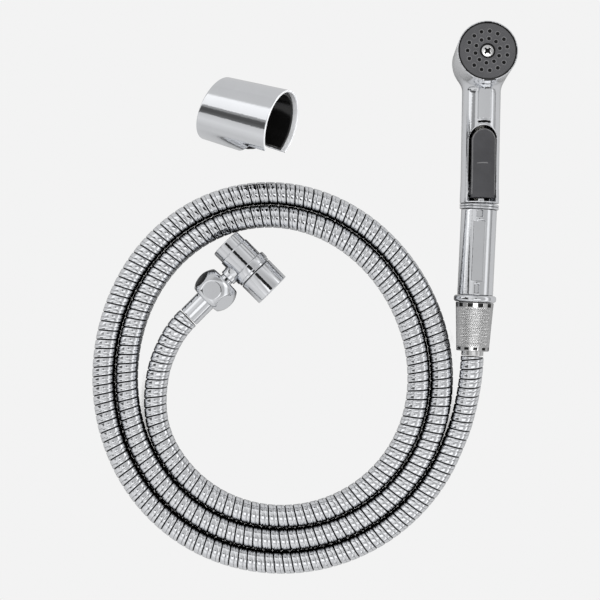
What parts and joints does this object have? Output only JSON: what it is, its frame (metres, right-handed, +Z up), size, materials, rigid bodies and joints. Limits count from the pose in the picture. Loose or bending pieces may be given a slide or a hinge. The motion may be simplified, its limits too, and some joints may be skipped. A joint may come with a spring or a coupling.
{
  "type": "handheld bath sprayer",
  "caption": "Hand-held bath sprayer with a thumb lever, coiled metal hose, swivel tee fitting and clip-in holder.",
  "frame": {"origin": "on the surface the kit lies on, under the middle of the handset and the holder together", "axes": "+X from the holder towards the handset, +Y along the handset towards its spray head, +Z up out of the surface, the way the spray face looks"},
  "size_m": [0.2722, 0.3539, 0.0612],
  "materials": {
    "chrome": "polished",
    "satin_chrome": "satin",
    "hose_steel": "polished interlocked strip",
    "brass": "machined",
    "steel": "bright",
    "face_grey": "satin grey",
    "lever_grey": "satin grey",
    "black_plastic": "gloss black",
    "black_rubber": "matte",
    "nylon": "natural"
  },
  "bodies": {
    "handset": {"upper_body": "chrome", "face_plate": "face_grey", "nozzle_pad": "black_rubber", "face_screw": "steel", "spray_chamber": "black_plastic", "head_seal": "black_rubber", "lever_pin": "steel", "valve_body": "black_plastic", "return_spring": "steel", "outlet_tube": "nylon", "grip_shell": "chrome", "seam_ring": "chrome", "end_collar": "chrome", "inlet_fitting": "brass", "supply_tube": "nylon", "flow_limiter": "nylon", "handset_washer": "black_rubber", "hose_tail": "steel", "hose_lead": "hose_steel", "hose_coil": "hose_steel", "hose_end": "hose_steel", "hose_ferrule": "satin_chrome", "ball_seal": "black_rubber"},
    "lever": {"thumb_lever": "lever_grey"},
    "plunger": {"valve_plunger": "steel", "plunger_seal": "black_rubber"},
    "handset_nut": {"hose_nut": "satin_chrome"},
    "fitting_nut": {"ball_nut": "chrome"},
    "tee": {"ball_stem": "brass", "tee_body": "chrome", "snap_ring": "steel", "check_valve": "black_plastic"},
    "inlet_nut": {"swivel_nut": "chrome", "inlet_washer": "black_rubber", "filter_screen": "steel"},
    "holder": {"holder_base": "black_plastic", "holder_sleeve": "chrome", "holder_liner": "black_plastic", "holder_screw": "steel"}
  },
  "joints": [
    {"name": "lever_press", "type": "hinge", "parent": "handset", "child": "lever", "pos_m": [0.08066, -0.0117, 0.0168], "axis": [-0.9998, 0.0183, 0], "range_deg": [0, 5], "stiffness_Nm_per_rad": 1.2, "springref_deg": -2.86},
    {"name": "plunger_slide", "type": "slide", "parent": "handset", "child": "plunger", "axis": [0, 0, -1], "range_m": [0, 0.0023], "deforming": ["return_spring"]},
    {"name": "handset_nut_spin", "type": "hinge", "parent": "handset", "child": "handset_nut", "pos_m": [0.07673, -0.10011, 0.0136], "axis": [0.0471, 0.9989, 0], "continuous": true},
    {"name": "fitting_nut_spin", "type": "hinge", "parent": "handset", "child": "fitting_nut", "pos_m": [-0.0904, -0.07545, 0.0136], "axis": [0.7071, 0.7071, 0], "continuous": true},
    {"name": "tee_swivel", "type": "hinge", "parent": "handset", "child": "tee", "pos_m": [-0.088, -0.07305, 0.0136], "axis": [0, 0, 1], "range_deg": [-12, 0]},
    {"name": "inlet_nut_spin", "type": "hinge", "parent": "tee", "child": "inlet_nut", "pos_m": [-0.07187, -0.05692, 0.0136], "axis": [0.7071, -0.7071, 0], "continuous": true},
    {"name": "holder_lift", "type": "slide", "parent": "handset", "child": "holder", "axis": [0, 0, 1], "range_m": [0, 0.15]}
  ],
  "couplings": [
    {"joint": "plunger_slide", "follows": "lever_press", "m_per_rad": 0.0255}
  ]
}
